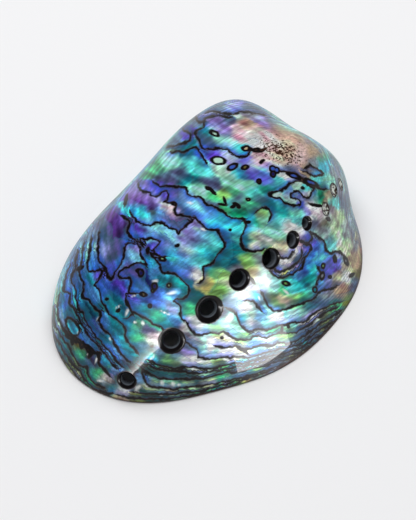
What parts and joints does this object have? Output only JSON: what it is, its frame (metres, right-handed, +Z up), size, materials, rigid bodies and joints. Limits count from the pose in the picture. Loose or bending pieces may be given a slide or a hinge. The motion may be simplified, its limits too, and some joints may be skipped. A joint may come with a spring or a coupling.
{
  "type": "abalone shell",
  "caption": "Polished ear-shaped abalone shell with a row of holes, an iridescent dome and a nacre-lined hollow, lying on its rim with the dome up.",
  "frame": {"origin": "middle of the footprint's bounding box, on the surface that the rim lies on", "axes": "+X along the shell towards the spire, -Y towards the side with the row of holes, +Z up out of the dome"},
  "size_m": [0.1408, 0.1048, 0.0536],
  "materials": {
    "nacre": "polished mother of pearl, banded teal, green, blue and violet with fine dark lines"
  },
  "bodies": {
    "root": {"shell": "nacre"}
  },
  "joints": []
}
